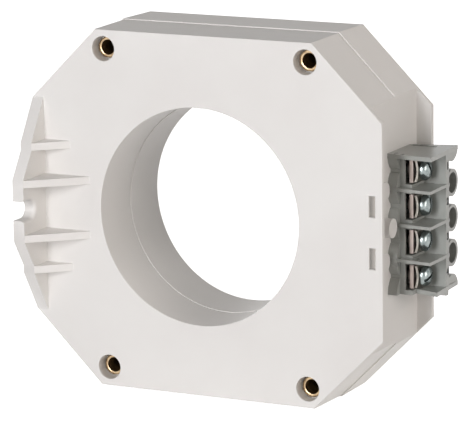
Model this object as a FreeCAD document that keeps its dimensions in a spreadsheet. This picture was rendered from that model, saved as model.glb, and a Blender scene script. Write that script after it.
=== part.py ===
import FreeCAD, Part
import os
import Sketcher
from FreeCAD import Placement, Rotation, Vector

# Ring current transformer for earth leakage sensing, with a 70 mm round aperture.
# Origin: centre of the aperture on the plane where the two shells part.
# X points to the terminal side, Y from the front face to the rear face, Z up. Millimetres.

doc = FreeCAD.newDocument("ring_current_transformer")
sheet = doc.addObject("Spreadsheet::Sheet", "Sheet")

DIMENSIONS = [
    # housing
    ("front_depth", 19.9, "front shell, from its face to the parting plane"),
    ("rear_depth", 18.8, "rear shell, from the parting plane to its face"),
    ("half_height", 58.4, "aperture centre to the top and bottom edge of the front face"),
    ("side_face", 59.5, "aperture centre to the mounting side and to the wall under the terminals"),
    ("corner_left", 36.3, "start of the corner cuts on the mounting side"),
    ("corner_right", 40.2, "start of the corner cuts on the terminal side"),
    ("lip_reach", 64.05, "edge of the front lip on the terminal side"),
    ("flange_reach", 64.65, "edge of the rear flange on the terminal side"),
    ("lip_thickness", 1.7, "front lip"),
    ("flange_thickness", 2.0, "rear flange"),
    ("shell_wall", 2.0, "outer walls of the shells"),
    ("plate_thickness", 2.2, "front and rear plates of the shells"),
    ("draft_angle", 0.7, "mould draft of the outer walls, degrees"),
    ("rim_step", 0.4, "how far the rear shell's rim stands proud of the front one"),
    ("aperture_radius", 35.0, "bore of the rear shell, the narrowest place"),
    ("bore_step", 0.2, "how much wider the front shell's bore is"),
    ("bore_wall", 2.2, "wall of the bore tubes"),
    # brass sleeves
    ("sleeve_inset_left", 3.0, "sleeves in from the start of the corner cuts, mounting side"),
    ("sleeve_inset_right", 2.3, "sleeves in from the start of the corner cuts, terminal side"),
    ("sleeve_inset", 6.2, "sleeves in from the top and bottom edge"),
    ("sleeve_radius", 3.45, "outside of a sleeve"),
    ("sleeve_bore", 2.2, "core of the thread in a sleeve"),
    ("sleeve_setback", 3.5, "sleeve end below the face"),
    ("recess_radius", 3.95, "hole in the face over a sleeve"),
    ("boss_radius", 5.5, "boss round a sleeve"),
    ("seat_clearance", 0.02, "sleeve in its boss"),
    # mounting lugs
    ("lug_thickness", 4.0, "lug plate"),
    ("lug_reach", 14.4, "middle of the lug in front of the face"),
    ("lug_step", 8.6, "lug at its outer ribs in front of the face"),
    ("rib_inner", 8.95, "inner ribs above and below the slot"),
    ("rib_outer", 20.2, "outer ribs above and below the slot"),
    ("rib_thickness", 2.4, "ribs of a lug"),
    ("rib_inner_run", 16.2, "inner ribs along the face"),
    ("rib_outer_run", 9.5, "outer ribs along the face"),
    ("slot_width", 6.2, "open fixing slot in a lug"),
    ("slot_depth", 7.4, "open fixing slot in a lug, from the lug's edge"),
    ("slot_rounding", 1.2, "rounded inner edge of a fixing slot"),
    # terminal side of the housing
    ("window_width", 2.0, "windows in the front lip, beside the wall"),
    ("window_height", 6.6, "windows in the front lip"),
    ("window_spacing", 16.5, "between the middles of the two windows"),
    ("peg_radius", 3.1, "round pegs in front of the terminal block"),
    ("peg_line", 9.4, "pegs behind the front face"),
    ("peg_short", 1.5, "height of the two outer pegs"),
    ("peg_long", 4.0, "height of the middle peg"),
    # terminal block
    ("pitch", 11.3, "terminal pitch"),
    ("foot_front", 5.9, "foot of the block in front of the parting plane"),
    ("foot_rear", 11.5, "foot of the block behind the parting plane"),
    ("foot_thickness", 3.2, "foot plate"),
    ("scallop_radius", 7.2, "round fronts of the foot"),
    ("groove_width", 1.4, "grooves between the round fronts"),
    ("deck_front", 3.5, "deck in front of the parting plane"),
    ("deck_level", 4.9, "deck above the wall"),
    ("shoulder_level", 7.4, "shoulders beside a terminal bar above the wall"),
    ("trough_width", 8.4, "trough under a terminal bar"),
    ("trough_floor", 1.2, "floor of the trough above the wall"),
    ("trough_wall", 0.8, "low wall in front of the trough"),
    ("barrier_level", 15.1, "barriers above the wall"),
    ("barrier_thickness", 1.0, "barriers between poles"),
    ("barrier_lean", 1.3, "how far a barrier leans forward at its edge"),
    ("end_level", 15.5, "end walls above the wall"),
    ("end_thickness", 1.4, "end walls"),
    ("back_front", 5.8, "back wall of the block behind the parting plane"),
    ("back_thickness", 2.4, "back wall of the block"),
    ("back_level", 14.9, "back wall above the wall"),
    ("tube_line", 11.7, "screw tubes behind the parting plane"),
    ("tube_radius", 4.4, "outside of a screw tube"),
    ("tube_bore", 3.3, "inside of a screw tube"),
    ("tube_floor", 2.4, "floor of a screw tube above the wall"),
    ("tube_level", 14.5, "mouth of a screw tube above the wall"),
    ("lower_end_front", 0.2, "front of the lower end wall behind the parting plane"),
    ("lower_end_lean", 2.9, "how far the lower end wall leans forward at its edge"),
    ("key_rear", 7.6, "rear of the key on the lower end behind the parting plane"),
    ("key_width", 1.6, "tip of the key"),
    ("key_slope", 2.6, "how much wider the key is at its root"),
    ("key_height", 1.5, "key on the lower end"),
    ("keyway_front", 9.5, "groove along the upper end behind the parting plane"),
    ("keyway_width", 1.7, "groove along the upper end"),
    ("keyway_depth", 0.7, "groove along the upper end"),
    ("keyway_start", 1.2, "near end of that groove above the wall"),
    ("keyway_reach", 9.8, "far end of that groove above the wall"),
    # terminals
    ("screw_line", 1.3, "terminal screws behind the parting plane"),
    ("bar_level", 6.0, "underside of a terminal bar above the wall"),
    ("bar_thickness", 1.3, "terminal bar"),
    ("bar_width", 7.7, "terminal bar"),
    ("collar_radius", 2.6, "drawn collar under a terminal bar"),
    ("collar_depth", 1.2, "drawn collar under a terminal bar"),
    ("tail_width", 3.0, "solder tail of a terminal bar"),
    ("tail_thickness", 0.9, "solder tail of a terminal bar"),
    ("tail_inside", 1.5, "solder tail past the inside of the shell wall"),
    ("fit_gap", 0.05, "terminal bar and tail in their slots"),
    ("saddle_gap", 0.25, "saddle washer above the bar as stored"),
    ("saddle_width", 7.0, "saddle washer"),
    ("saddle_thickness", 0.7, "saddle washer"),
    ("saddle_bow", 0.7, "height of the saddle's arch"),
    ("head_gap", 0.35, "screw head above the saddle as stored"),
    ("head_radius", 3.45, "terminal screw head"),
    ("head_height", 2.45, "terminal screw head"),
    ("head_edge", 1.1, "straight side of the head"),
    ("driver_slot_width", 1.0, "slot in a screw head"),
    ("driver_slot_depth", 1.2, "slot in a screw head"),
    ("thread_radius", 1.75, "terminal screw, M3.5"),
    ("thread_length", 7.4, "terminal screw under its head"),
    ("thread_clearance", 0.05, "screw in the bar"),
    # block fixing screws
    ("fixing_radius", 1.45, "shank of a fixing screw"),
    ("fixing_head_radius", 2.8, "head of a fixing screw"),
    ("fixing_head_height", 2.2, "head of a fixing screw"),
    ("fixing_length", 7.0, "fixing screw under its head"),
    ("fixing_boss_radius", 3.2, "boss for a fixing screw inside the wall"),
    ("fixing_boss_depth", 3.2, "boss for a fixing screw inside the wall"),
    # wound core
    ("winding_clearance", 1.4, "between the bore tube and the winding"),
    ("winding_edge_gap", 3.2, "between the winding and the nearest outer wall"),
    ("winding_half", 13.4, "half the height of the wound ring"),
    ("winding_build", 1.2, "thickness of the winding on the core case"),
    ("case_wall", 1.0, "core case"),
    ("core_gap", 0.2, "core in its case"),
    ("test_build", 0.75, "thickness of the test winding"),
    ("test_start_angle", 3.0, "test winding, first degree below the X axis"),
    ("test_sweep_angle", 19.0, "test winding, degrees round the ring"),
    ("pad_length", 18.0, "foam pads along the ring"),
    ("lead_radius", 0.6, "lead wires"),
    ("touch_gap", 0.05, "between inner pieces that lie on each other"),
]

for row, (alias, value, meaning) in enumerate(DIMENSIONS, start=1):
    sheet.set("A%d" % row, alias)
    sheet.set("B%d" % row, str(value))
    sheet.set("C%d" % row, meaning)
    sheet.setAlias("B%d" % row, alias)
doc.recompute()

POLES = (1.5, 0.5, -0.5, -1.5)
pieces = []


def bind(thing, path, expression):
    """Tie one property of an object to the sheet."""
    thing.setExpression(path, str(expression))


def value_of(expression):
    """Number that an expression gives now."""
    result = sheet.evalExpression(str(expression))
    return float(getattr(result, "Value", result))


def bind_place(thing, x, y, z):
    """Tie an object's position to the sheet."""
    for axis, expression in zip("xyz", (x, y, z)):
        bind(thing, "Placement.Base." + axis, expression)


def keep(thing, label):
    """Name a finished piece and list it for export."""
    thing.Label = label
    pieces.append(thing)
    return thing


# Sketches. A loop is a list of corner points, each a pair of expressions.

def origin_plane(body, role):
    for feature in body.Origin.OriginFeatures:
        if feature.Role == role:
            return feature


def sketch_loops(body, name, role, level, loops, radii=()):
    """Closed outlines and circles on one of the body's planes, moved along its normal."""
    sketch = body.newObject("Sketcher::SketchObject", name)
    sketch.AttachmentSupport = (origin_plane(body, role), [""])
    sketch.MapMode = "FlatFace"
    bind(sketch, "AttachmentOffset.Base.z", level)
    for loop in loops:
        first = sketch.GeometryCount
        corners = [Vector(value_of(x), value_of(y), 0) for x, y in loop]
        for index, corner in enumerate(corners):
            end = corners[(index + 1) % len(corners)]
            sketch.addGeometry(Part.LineSegment(corner, end), False)
        for index, (x, y) in enumerate(loop):
            line = first + index
            following = first + (index + 1) % len(loop)
            sketch.addConstraint(Sketcher.Constraint("Coincident", line, 2, following, 1))
            for kind, expression in (("DistanceX", x), ("DistanceY", y)):
                number = value_of(expression)
                spot = sketch.addConstraint(Sketcher.Constraint(kind, -1, 1, line, 1, number))
                constraint_name = "%s_%d" % (kind, spot)
                sketch.renameConstraint(spot, constraint_name)
                bind(sketch, "Constraints." + constraint_name, expression)
    for radius in radii:
        circle = Part.Circle(Vector(0, 0, 0), Vector(0, 0, 1), value_of(radius))
        index = sketch.addGeometry(circle, False)
        sketch.addConstraint(Sketcher.Constraint("Coincident", index, 3, -1, 1))
        spot = sketch.addConstraint(Sketcher.Constraint("Radius", index, value_of(radius)))
        sketch.renameConstraint(spot, "Radius_%d" % spot)
        bind(sketch, "Constraints.Radius_%d" % spot, radius)
    return sketch


def pad(body, sketch, length, backwards=False):
    feature = body.newObject("PartDesign::Pad", sketch.Name + "_pad")
    feature.Profile = sketch
    feature.Reversed = backwards
    bind(feature, "Length", length)
    return feature


def pocket(body, sketch, length, backwards=False):
    feature = body.newObject("PartDesign::Pocket", sketch.Name + "_pocket")
    feature.Profile = sketch
    feature.Reversed = backwards
    bind(feature, "Length", length)
    return feature


def turn(body, sketch, axis_name, angle="360"):
    feature = body.newObject("PartDesign::Revolution", sketch.Name + "_turned")
    feature.Profile = sketch
    feature.ReferenceAxis = (sketch, [axis_name])
    bind(feature, "Angle", angle)
    return feature


def round_bar(body, kind, name, start, axis, radius, length):
    """Cylinder that is added to or cut from a body, from its start along an axis."""
    feature = body.newObject("PartDesign::%sCylinder" % kind, name)
    feature.Placement = Placement(Vector(), Rotation(Vector(0, 0, 1), axis))
    bind_place(feature, *start)
    bind(feature, "Radius", radius)
    bind(feature, "Height", length)
    return feature


def square_bar(body, kind, name, low, high):
    """Box that is added to or cut from a body, between two corners."""
    feature = body.newObject("PartDesign::%sBox" % kind, name)
    bind_place(feature, *low)
    for side, start, end in zip(("Length", "Width", "Height"), low, high):
        bind(feature, side, "(%s) - (%s)" % (end, start))
    return feature


# Plain solids, for the pieces that are joined and cut as solids.

def block(name, low, high):
    box = doc.addObject("Part::Box", name)
    bind_place(box, *low)
    for side, start, end in zip(("Length", "Width", "Height"), low, high):
        bind(box, side, "(%s) - (%s)" % (end, start))
    return box


def rod(name, start, axis, radius, length):
    cylinder = doc.addObject("Part::Cylinder", name)
    cylinder.Placement = Placement(Vector(), Rotation(Vector(0, 0, 1), axis))
    bind_place(cylinder, *start)
    bind(cylinder, "Radius", radius)
    bind(cylinder, "Height", length)
    return cylinder


def join(name, shapes):
    fusion = doc.addObject("Part::MultiFuse", name)
    fusion.Shapes = shapes
    return fusion


def subtract(name, base, tool):
    difference = doc.addObject("Part::Cut", name)
    difference.Base = base
    difference.Tool = tool
    return difference


def overlap(name, first, second):
    common = doc.addObject("Part::Common", name)
    common.Base = first
    common.Tool = second
    return common


ALONG_X = Vector(1, 0, 0)
ALONG_Y = Vector(0, 1, 0)


# Housing

def housing_outline(rise, right_side):
    """Octagon with 45 degree corners, grown by rise, with its own terminal side."""
    top = "Sheet.half_height + (%s)" % rise
    top_left = "-(Sheet.corner_left + (%s) * (sqrt(2) - 1))" % rise
    top_right = "Sheet.corner_right + (%s) * (sqrt(2) - 1)" % rise
    left = "-Sheet.side_face"
    if rise.startswith("-"):
        left = "-(Sheet.side_face + (%s))" % rise
    left_end = "Sheet.half_height + Sheet.corner_left + (%s) * sqrt(2) + (%s)" % (rise, left)
    right_end = "Sheet.half_height + Sheet.corner_right + (%s) * sqrt(2) - (%s)" % (rise, right_side)
    upper = [(left, left_end), (top_left, top), (top_right, top), (right_side, right_end)]
    lower = [(x, "-(%s)" % z) for x, z in reversed(upper)]
    return upper + lower


def draft_walls(body, walls, outward):
    """Draft the top, bottom and corner walls, from the face towards the parting plane."""
    doc.recompute()
    sloping = []
    neutral = None
    for number, face in enumerate(walls.Shape.Faces, start=1):
        direction = face.normalAt(0, 0)
        if abs(direction.z) > 0.5:
            sloping.append("Face%d" % number)
        if direction.y * outward > 0.5:
            neutral = "Face%d" % number
    draft = body.newObject("PartDesign::Draft", body.Name + "_draft")
    draft.Base = (walls, sloping)
    draft.NeutralPlane = (walls, [neutral])
    bind(draft, "Angle", "Sheet.draft_angle")
    draft.Reversed = outward < 0
    body.Tip = draft
    # The references to the faces settle at the first recompute, and the shape at the next.
    doc.recompute()


def shell(label, outward, depth, rise, bore_radius, edge_reach, edge_thickness):
    """One half of the housing: outward is -1 for the front half and 1 for the rear half."""
    body = doc.addObject("PartDesign::Body", label)
    face = "(%d * (%s))" % (outward, depth)
    back = outward > 0

    # The sketch plane's normal is -Y, so a level is minus the place along Y.
    face_sketch = sketch_loops(body, label + "_face", "XZ_Plane", "-" + face,
                               [housing_outline(rise, "Sheet.side_face")])
    draft_walls(body, pad(body, face_sketch, depth, backwards=not back), outward)

    edge_sketch = sketch_loops(body, label + "_edge", "XZ_Plane", "-" + face,
                               [housing_outline(rise, edge_reach)])
    pad(body, edge_sketch, edge_thickness, backwards=not back)

    hollow_sketch = sketch_loops(body, label + "_hollow", "XZ_Plane", "0",
                                 [housing_outline("-Sheet.shell_wall", "Sheet.side_face - Sheet.shell_wall")])
    pocket(body, hollow_sketch, "(%s) - Sheet.plate_thickness" % depth, backwards=not back)

    start = face if not back else "0"
    tube_radius = "Sheet.aperture_radius + Sheet.bore_step + Sheet.bore_wall"
    round_bar(body, "Additive", label + "_tube", ("0", start, "0"), ALONG_Y, tube_radius, depth)
    sleeves = sleeve_places()
    for number, (x, z) in enumerate(sleeves, start=1):
        round_bar(body, "Additive", "%s_boss_%d" % (label, number), (x, start, z), ALONG_Y,
                  "Sheet.boss_radius", depth)
    round_bar(body, "Subtractive", label + "_bore", ("0", start, "0"), ALONG_Y, bore_radius, depth)
    recess_start = face if not back else "%s - Sheet.sleeve_setback" % face
    for number, (x, z) in enumerate(sleeves, start=1):
        round_bar(body, "Subtractive", "%s_seat_%d" % (label, number), (x, start, z), ALONG_Y,
                  "Sheet.sleeve_radius + Sheet.seat_clearance", depth)
        round_bar(body, "Subtractive", "%s_recess_%d" % (label, number), (x, recess_start, z), ALONG_Y,
                  "Sheet.recess_radius", "Sheet.sleeve_setback")
    mounting_lug(body, label, outward, face)
    return body


def sleeve_places():
    """The four corner sleeves, each a pair of X and Z."""
    left = "-(Sheet.corner_left - Sheet.sleeve_inset_left)"
    right = "Sheet.corner_right - Sheet.sleeve_inset_right"
    height = "(Sheet.half_height - Sheet.sleeve_inset)"
    return [(x, sign + height) for x in (left, right) for sign in ("", "-")]


def mounting_lug(body, label, outward, face):
    """Slotted lug that carries the mounting side on past the face, with four ribs."""
    def beyond(distance):
        return "%s + %d * (%s)" % (face, outward, distance)

    root = "Sheet.half_height + Sheet.corner_left - Sheet.side_face"
    half_rib = "Sheet.rib_thickness / 2"
    upper = [
        (beyond("-Sheet.plate_thickness"), root),
        (face, root),
        (beyond("Sheet.lug_step"), "Sheet.rib_outer + " + half_rib),
        (beyond("Sheet.lug_step"), "Sheet.rib_outer - " + half_rib),
        (beyond("Sheet.lug_reach"), "Sheet.rib_inner + " + half_rib),
    ]
    lower = [(y, "-(%s)" % z) for y, z in reversed(upper)]
    plate_sketch = sketch_loops(body, label + "_lug", "YZ_Plane", "-Sheet.side_face", [upper + lower])
    pad(body, plate_sketch, "Sheet.lug_thickness")

    inner_face = "-(Sheet.side_face - Sheet.lug_thickness)"
    ribs = [
        ("inner", "Sheet.rib_inner", "Sheet.lug_reach", "Sheet.rib_inner_run"),
        ("outer", "Sheet.rib_outer", "Sheet.lug_step", "Sheet.rib_outer_run"),
    ]
    for place, line, reach, run in ribs:
        corner = [
            ("%s - Sheet.lug_thickness / 2" % inner_face, beyond("-Sheet.plate_thickness / 2")),
            ("%s + (%s)" % (inner_face, run), beyond("-Sheet.plate_thickness / 2")),
            ("%s + (%s)" % (inner_face, run), face),
            (inner_face, beyond(reach)),
            ("%s - Sheet.lug_thickness / 2" % inner_face, beyond(reach)),
        ]
        for side, middle in (("upper", line), ("lower", "-" + line)):
            rib_sketch = sketch_loops(body, "%s_%s_%s_rib" % (label, side, place), "XY_Plane",
                                      "%s - %s" % (middle, half_rib), [corner])
            pad(body, rib_sketch, "Sheet.rib_thickness")

    slot_end = beyond("Sheet.lug_reach - Sheet.slot_depth + Sheet.slot_width / 2")
    round_bar(body, "Subtractive", label + "_slot_end", ("-Sheet.side_face", slot_end, "0"), ALONG_X,
              "Sheet.slot_width / 2", "Sheet.lug_thickness")
    low_y, high_y = slot_end, beyond("Sheet.lug_reach + 1")
    if outward < 0:
        low_y, high_y = high_y, low_y
    square_bar(body, "Subtractive", label + "_slot",
               ("-Sheet.side_face", low_y, "-Sheet.slot_width / 2"),
               (inner_face, high_y, "Sheet.slot_width / 2"))
    round_slot_edge(body, label)


def round_slot_edge(body, label):
    """Rounds the edge that the slot makes with the inside of its lug."""
    doc.recompute()
    inside = sheet.lug_thickness - sheet.side_face
    slot = body.Tip
    names = []
    for number, edge in enumerate(slot.Shape.Edges, start=1):
        box = edge.BoundBox
        on_face = abs(box.XMin - inside) < 0.01 and abs(box.XMax - inside) < 0.01
        in_slot = max(-box.ZMin, box.ZMax) < sheet.slot_width / 2 + 0.01
        if on_face and in_slot:
            names.append("Edge%d" % number)
    rounding = body.newObject("PartDesign::Fillet", label + "_slot_rounding")
    rounding.Base = (slot, names)
    bind(rounding, "Radius", "Sheet.slot_rounding")


def front_shell():
    body = shell("front_shell", -1, "Sheet.front_depth", "0", "Sheet.aperture_radius + Sheet.bore_step",
                 "Sheet.lip_reach", "Sheet.lip_thickness")
    for name, side in (("upper", 1), ("lower", -1)):
        middle = "%d * Sheet.window_spacing / 2" % side
        square_bar(body, "Subtractive", "window_" + name,
                   ("Sheet.side_face", "-Sheet.front_depth", "%s - Sheet.window_height / 2" % middle),
                   ("Sheet.side_face + Sheet.window_width", "-Sheet.front_depth + Sheet.lip_thickness",
                    "%s + Sheet.window_height / 2" % middle))
    pegs = ((-1, "Sheet.peg_short"), (0, "Sheet.peg_long"), (1, "Sheet.peg_short"))
    for step, height in pegs:
        round_bar(body, "Additive", "peg_%d" % (step + 2),
                  ("Sheet.side_face - Sheet.shell_wall / 2", "Sheet.peg_line - Sheet.front_depth",
                   "%d * Sheet.pitch" % step), ALONG_X, "Sheet.peg_radius",
                  "%s + Sheet.shell_wall / 2" % height)
    return keep(body, "front_shell")


def rear_shell():
    body = shell("rear_shell", 1, "Sheet.rear_depth", "Sheet.rim_step", "Sheet.aperture_radius",
                 "Sheet.flange_reach", "Sheet.flange_thickness")
    inside = "Sheet.side_face - Sheet.shell_wall"
    for step in (-1, 1):
        place = ("%s - Sheet.fixing_boss_depth" % inside, "Sheet.tube_line", "%d * Sheet.pitch" % step)
        round_bar(body, "Additive", "fixing_boss_%d" % (step + 2), place, ALONG_X,
                  "Sheet.fixing_boss_radius", "Sheet.fixing_boss_depth + Sheet.shell_wall / 2")
        round_bar(body, "Subtractive", "fixing_hole_%d" % (step + 2), place, ALONG_X,
                  "Sheet.fixing_radius + Sheet.thread_clearance",
                  "Sheet.fixing_boss_depth + Sheet.shell_wall")
    for number, pole in enumerate(POLES, start=1):
        low_y, high_y = tail_span()
        square_bar(body, "Subtractive", "tail_window_%d" % number,
                   ("%s - 1" % inside, "%s - Sheet.core_gap" % low_y,
                    "%s * Sheet.pitch - Sheet.tail_width / 2 - Sheet.core_gap" % pole),
                   ("Sheet.side_face", "%s + Sheet.core_gap" % high_y,
                    "%s * Sheet.pitch + Sheet.tail_width / 2 + Sheet.core_gap" % pole))
    return keep(body, "rear_shell")


def tail_span():
    """Front and rear of a solder tail, in the middle of the block's back wall."""
    middle = "Sheet.back_front + Sheet.back_thickness / 2"
    half = "Sheet.tail_thickness / 2"
    return "%s - %s" % (middle, half), "%s + %s" % (middle, half)


def threaded_sleeves():
    """Brass sleeves with a through thread, which line the two shells up."""
    start = "-Sheet.front_depth + Sheet.sleeve_setback"
    end = "Sheet.rear_depth - Sheet.sleeve_setback"
    lead_in = "Sheet.sleeve_bore + 0.35 * (Sheet.sleeve_radius - Sheet.sleeve_bore)"
    bevel = "0.35 * (Sheet.sleeve_radius - Sheet.sleeve_bore)"
    section = [
        ("Sheet.sleeve_bore", "%s + %s" % (start, bevel)), (lead_in, start),
        ("Sheet.sleeve_radius", start), ("Sheet.sleeve_radius", end),
        (lead_in, end), ("Sheet.sleeve_bore", "%s - %s" % (end, bevel)),
    ]
    for number, (x, z) in enumerate(sleeve_places(), start=1):
        body = doc.addObject("PartDesign::Body", "threaded_sleeve_%d" % number)
        sketch = sketch_loops(body, "sleeve_section_%d" % number, "XY_Plane", "0", [section])
        turn(body, sketch, "V_Axis")
        bind_place(body, x, "0", z)
        keep(body, "threaded_sleeve_%d" % number)


# Wound core. Its middle lies half way between the two plates.

CORE_MIDDLE = "((Sheet.rear_depth - Sheet.front_depth) / 2)"
WINDING_INNER = "(Sheet.aperture_radius + Sheet.bore_step + Sheet.bore_wall + Sheet.winding_clearance)"
WINDING_OUTER = "(min(Sheet.half_height; Sheet.side_face) - Sheet.shell_wall - Sheet.winding_edge_gap)"


def along_axis(distance, forwards=False):
    """Place along Y at a distance from the middle of the core."""
    return "%s %s (%s)" % (CORE_MIDDLE, "-" if forwards else "+", distance)


def ring_loop(inner, outer, half):
    """Section of a ring round the aperture."""
    low = along_axis(half, forwards=True)
    high = along_axis(half)
    return [(inner, low), (outer, low), (outer, high), (inner, high)]


def ring_body(label, loops, angle="360"):
    body = doc.addObject("PartDesign::Body", label)
    sketch = sketch_loops(body, label + "_section", "XY_Plane", "0", loops)
    turn(body, sketch, "V_Axis", angle)
    return keep(body, label)


def wound_core():
    case_inner = "(%s + Sheet.winding_build)" % WINDING_INNER
    case_outer = "(%s - Sheet.winding_build)" % WINDING_OUTER
    case_half = "(Sheet.winding_half - Sheet.winding_build)"
    wall = "(Sheet.case_wall + Sheet.core_gap)"
    ring_body("strip_wound_core", [ring_loop("%s + %s" % (case_inner, wall), "%s - %s" % (case_outer, wall),
                                             "%s - %s" % (case_half, wall))])

    # The case is a channel that opens to the front, with a flat lid on its rims.
    front = along_axis(case_half, forwards=True)
    rim = "%s + Sheet.case_wall + Sheet.touch_gap" % front
    rear = along_axis(case_half)
    inside_inner = "%s + Sheet.case_wall" % case_inner
    inside_outer = "%s - Sheet.case_wall" % case_outer
    inside_rear = "%s - Sheet.case_wall" % rear
    ring_body("core_case_base", [[
        (case_inner, rim),
        (inside_inner, rim),
        (inside_inner, inside_rear),
        (inside_outer, inside_rear),
        (inside_outer, rim),
        (case_outer, rim),
        (case_outer, rear),
        (case_inner, rear),
    ]])
    lid_rear = "%s + Sheet.case_wall" % front
    ring_body("core_case_lid", [[
        (case_inner, front),
        (case_outer, front),
        (case_outer, lid_rear),
        (case_inner, lid_rear),
    ]])

    ring_body("secondary_winding", [
        ring_loop(WINDING_INNER, WINDING_OUTER, "Sheet.winding_half"),
        ring_loop("%s - Sheet.touch_gap" % case_inner, "%s + Sheet.touch_gap" % case_outer,
                  "%s + Sheet.touch_gap" % case_half),
    ])

    over = "(Sheet.touch_gap + Sheet.test_build)"
    test = ring_body("test_winding", [
        ring_loop("%s - %s" % (WINDING_INNER, over), "%s + %s" % (WINDING_OUTER, over),
                  "Sheet.winding_half + %s" % over),
        ring_loop("%s - Sheet.touch_gap" % WINDING_INNER, "%s + Sheet.touch_gap" % WINDING_OUTER,
                  "Sheet.winding_half + Sheet.touch_gap"),
    ], "Sheet.test_sweep_angle")
    test.Placement = Placement(Vector(), Rotation(Vector(0, 1, 0), 0))
    bind(test, "Placement.Rotation.Angle", "Sheet.test_start_angle")


def foam_pads():
    """Foam pads that hold the wound ring between the two plates, at its top, sides and bottom."""
    middle = "((%s + %s) / 2)" % (WINDING_INNER, WINDING_OUTER)
    width = "(%s - %s - 2 * Sheet.winding_build)" % (WINDING_OUTER, WINDING_INNER)
    near = "(Sheet.winding_half + Sheet.touch_gap)"
    far = "((Sheet.front_depth + Sheet.rear_depth) / 2 - Sheet.plate_thickness - Sheet.touch_gap)"
    places = [
        ("top", "0", middle, "Sheet.pad_length", width),
        ("bottom", "0", "-" + middle, "Sheet.pad_length", width),
        ("left", "-" + middle, "0", width, "Sheet.pad_length"),
    ]
    for end, forwards in (("front", True), ("rear", False)):
        start = along_axis(far if forwards else near, forwards)
        finish = along_axis(near if forwards else far, forwards)
        for side, x, z, across, up in places:
            pad_block = block("%s_pad_%s" % (end, side),
                              ("%s - %s / 2" % (x, across), start, "%s - %s / 2" % (z, up)),
                              ("%s + %s / 2" % (x, across), finish, "%s + %s / 2" % (z, up)))
            keep(pad_block, "%s_pad_%s" % (end, side))


# Terminal block

WALL = "Sheet.side_face"
STRIP_HALF = "(2 * Sheet.pitch)"


def above(level):
    """Place along X of a level above the wall that the block stands on."""
    return "%s + %s" % (WALL, level)


def plate_between(name, corners, middle, thickness):
    """Flat plate of an X and Y outline, standing across the block at a height along Z."""
    body = doc.addObject("PartDesign::Body", name)
    sketch = sketch_loops(body, name + "_outline", "XY_Plane", "%s - %s / 2" % (middle, thickness), [corners])
    pad(body, sketch, thickness)
    return body


def lower_key():
    """Sloped bar along the outside of the lower end."""
    body = doc.addObject("PartDesign::Body", "lower_key")
    rear = "Sheet.key_rear"
    tip = "Sheet.key_rear - Sheet.key_width"
    root = "%s - Sheet.key_slope" % tip
    level = "-" + STRIP_HALF
    depth = "%s - Sheet.key_height" % level
    inside = "%s + Sheet.end_thickness / 2" % level
    outline = [(root, inside), (root, level), (tip, depth), (rear, depth), (rear, inside)]
    sketch = sketch_loops(body, "lower_key_outline", "YZ_Plane", above("Sheet.deck_level"), [outline])
    pad(body, sketch, "Sheet.back_level - Sheet.deck_level")
    return body


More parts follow.
